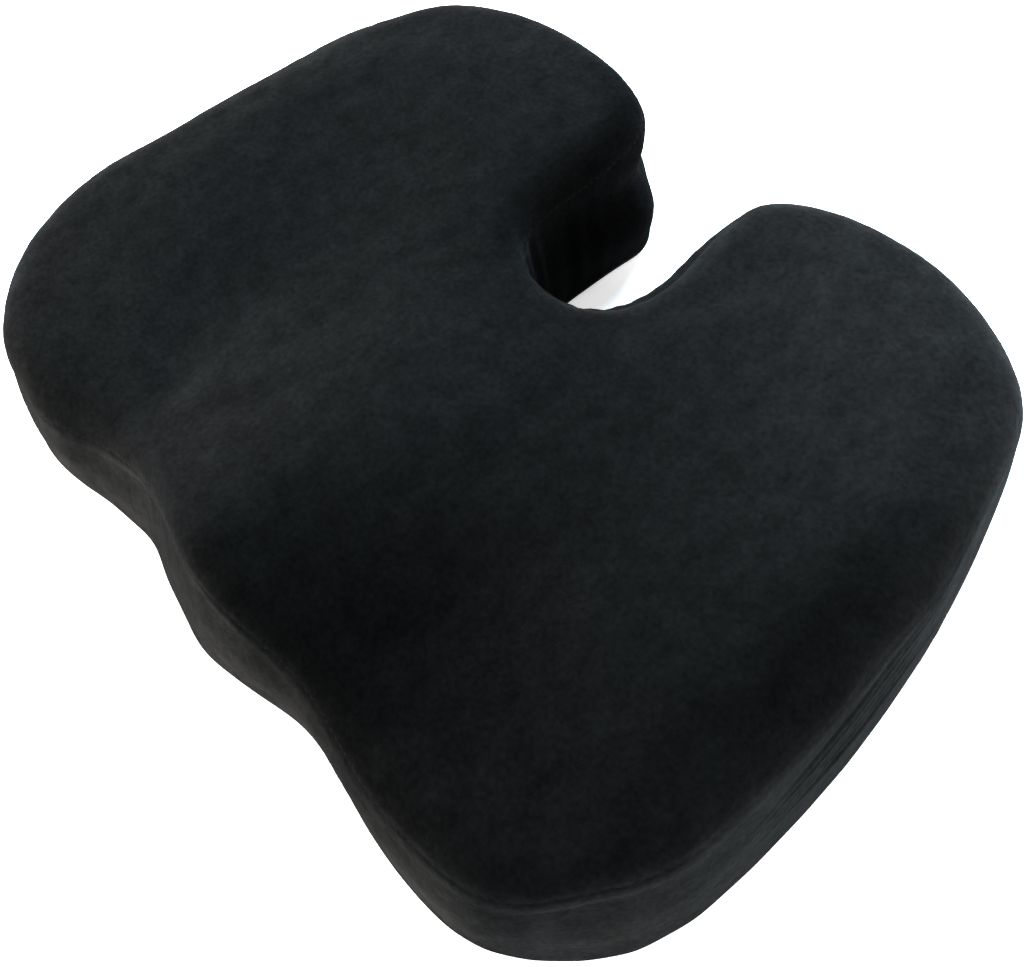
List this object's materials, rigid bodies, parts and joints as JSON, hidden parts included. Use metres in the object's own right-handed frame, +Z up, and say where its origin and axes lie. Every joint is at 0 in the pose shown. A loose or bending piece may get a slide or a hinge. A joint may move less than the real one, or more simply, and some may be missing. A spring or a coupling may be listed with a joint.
{
  "type": "seat cushion",
  "caption": "Contoured foam seat cushion with a U-shaped tailbone cut-out at the back, thigh channels at the front, a zipped black velour cover and a non-slip dotted underside.",
  "frame": {"origin": "centre of the underside's bounding rectangle, on the plane the cushion rests on", "axes": "+Z up out of the seat surface, +Y towards the back where the cut-out opens, +X towards the sitter's left when seated facing -Y"},
  "size_m": [0.446, 0.3408, 0.0912],
  "materials": {
    "velour": "matte",
    "base_cloth": "matte",
    "foam": "matte",
    "grip_dots": "satin",
    "zip_tape": "matte",
    "zip_coil": "satin",
    "zip_metal": "satin",
    "thread": "satin",
    "label_satin": "satin"
  },
  "bodies": {
    "cushion": {"foam_core": "foam", "top_panel": "velour", "side_band": "velour", "cutout_band": "velour", "bottom_panel_front": "base_cloth", "bottom_panel_rear": "base_cloth", "grip_dots_front": "grip_dots", "grip_dots_rear": "grip_dots", "care_label": "label_satin", "top_seam_thread": "thread", "bottom_seam_thread": "thread", "band_join_thread_right": "thread", "band_join_thread_left": "thread", "zip_tape_front": "zip_tape", "zip_tape_rear": "zip_tape", "zip_teeth_front": "zip_coil", "zip_teeth_rear": "zip_coil", "zip_stitching_front": "thread", "zip_stitching_rear": "thread", "zip_stop_closed_end": "zip_metal", "zip_stop_open_end": "zip_metal"},
    "zip_slider": {"zip_slider": "zip_metal"},
    "zip_pull": {"zip_pull": "zip_metal"}
  },
  "joints": [
    {"name": "zip_travel", "type": "slide", "parent": "cushion", "child": "zip_slider", "axis": [-1, 0, 0], "range_m": [0, 0.334]},
    {"name": "pull_swing", "type": "hinge", "parent": "zip_slider", "child": "zip_pull", "pos_m": [0.1675, -0.014, 0.00345], "axis": [0, -1, 0], "range_deg": [0, 175]}
  ]
}
